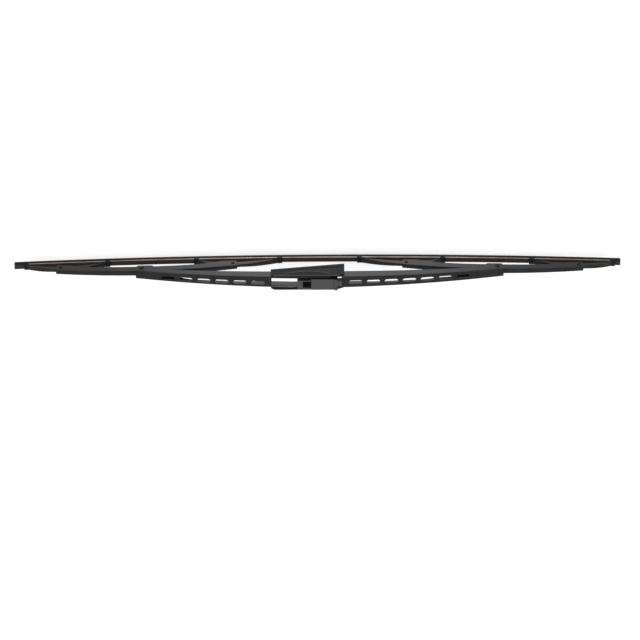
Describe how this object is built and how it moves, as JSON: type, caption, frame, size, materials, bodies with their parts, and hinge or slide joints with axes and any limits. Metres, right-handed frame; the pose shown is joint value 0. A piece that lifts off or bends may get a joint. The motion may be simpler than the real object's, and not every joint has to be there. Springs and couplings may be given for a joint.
{
  "type": "windscreen wiper blade",
  "caption": "Long riveted-frame windscreen wiper blade: arched main bridge with wind slots, secondary bridges, yokes with claws, bowed rubber strip with spring rails, and a hook adapter.",
  "frame": {"origin": "axis of the adapter's pin in the blade's middle plane", "axes": "+X along the blade away from the arm, +Y across it, +Z away from the glass"},
  "size_m": [0.66, 0.023, 0.0476],
  "materials": {
    "painted_steel": "satin black paint on bent sheet steel",
    "rivet_steel": "blackened steel rivets",
    "rail_steel": "spring steel strip",
    "rubber": "matt black rubber",
    "adapter_plastic": "moulded black plastic with a fine grain",
    "liner_plastic": "black nylon"
  },
  "bodies": {
    "main_bridge": {"main_bridge": "painted_steel", "adapter_pin": "rivet_steel", "left_bridge_rivet": "rivet_steel", "right_bridge_rivet": "rivet_steel", "rubber_strip": "rubber", "rail_near_side": "rail_steel", "rail_far_side": "rail_steel"},
    "adapter": {"adapter": "adapter_plastic"},
    "left_secondary": {"left_secondary_bridge": "painted_steel", "left_bridge_liner": "liner_plastic", "left_outer_yoke_rivet": "rivet_steel", "left_inner_yoke_rivet": "rivet_steel"},
    "left_outer_yoke": {"left_outer_yoke": "painted_steel"},
    "left_inner_yoke": {"left_inner_yoke": "painted_steel"},
    "right_secondary": {"right_secondary_bridge": "painted_steel", "right_bridge_liner": "liner_plastic", "right_outer_yoke_rivet": "rivet_steel", "right_inner_yoke_rivet": "rivet_steel"},
    "right_outer_yoke": {"right_outer_yoke": "painted_steel"},
    "right_inner_yoke": {"right_inner_yoke": "painted_steel"}
  },
  "joints": [
    {"name": "adapter_pivot", "type": "hinge", "parent": "main_bridge", "child": "adapter", "pos_m": [0, 0, 0], "axis": [0, 1, 0], "range_deg": [-10, 8]},
    {"name": "left_secondary_pivot", "type": "hinge", "parent": "main_bridge", "child": "left_secondary", "pos_m": [-0.1932, 0, -0.01155], "axis": [0, 1, 0], "range_deg": [-5, 4], "stiffness_Nm_per_rad": 2, "deforming": ["rubber_strip", "rail_near_side", "rail_far_side"]},
    {"name": "left_inner_yoke_pivot", "type": "hinge", "parent": "left_secondary", "child": "left_inner_yoke", "pos_m": [-0.0943, 0, -0.0216], "axis": [0, 1, 0], "range_deg": [-3, 3], "deforming": ["rubber_strip", "rail_near_side", "rail_far_side"]},
    {"name": "left_outer_yoke_pivot", "type": "hinge", "parent": "left_secondary", "child": "left_outer_yoke", "pos_m": [-0.2818, 0, -0.01602], "axis": [0, 1, 0], "range_deg": [-3, 3], "deforming": ["rubber_strip", "rail_near_side", "rail_far_side"]},
    {"name": "right_secondary_pivot", "type": "hinge", "parent": "main_bridge", "child": "right_secondary", "pos_m": [0.1932, 0, -0.01155], "axis": [0, 1, 0], "range_deg": [-4, 5], "deforming": ["rubber_strip", "rail_near_side", "rail_far_side"]},
    {"name": "right_inner_yoke_pivot", "type": "hinge", "parent": "right_secondary", "child": "right_inner_yoke", "pos_m": [0.0943, 0, -0.0216], "axis": [0, 1, 0], "range_deg": [-3, 3], "deforming": ["rubber_strip", "rail_near_side", "rail_far_side"]},
    {"name": "right_outer_yoke_pivot", "type": "hinge", "parent": "right_secondary", "child": "right_outer_yoke", "pos_m": [0.2818, 0, -0.01602], "axis": [0, 1, 0], "range_deg": [-3, 3], "deforming": ["rubber_strip", "rail_near_side", "rail_far_side"]}
  ],
  "couplings": [
    {"joint": "right_secondary_pivot", "follows": "left_secondary_pivot", "ratio": -1},
    {"joint": "left_inner_yoke_pivot", "follows": "left_secondary_pivot", "ratio": -0.5263},
    {"joint": "left_outer_yoke_pivot", "follows": "left_secondary_pivot", "ratio": 0.4655},
    {"joint": "right_inner_yoke_pivot", "follows": "left_secondary_pivot", "ratio": 0.5263},
    {"joint": "right_outer_yoke_pivot", "follows": "left_secondary_pivot", "ratio": -0.4655}
  ]
}
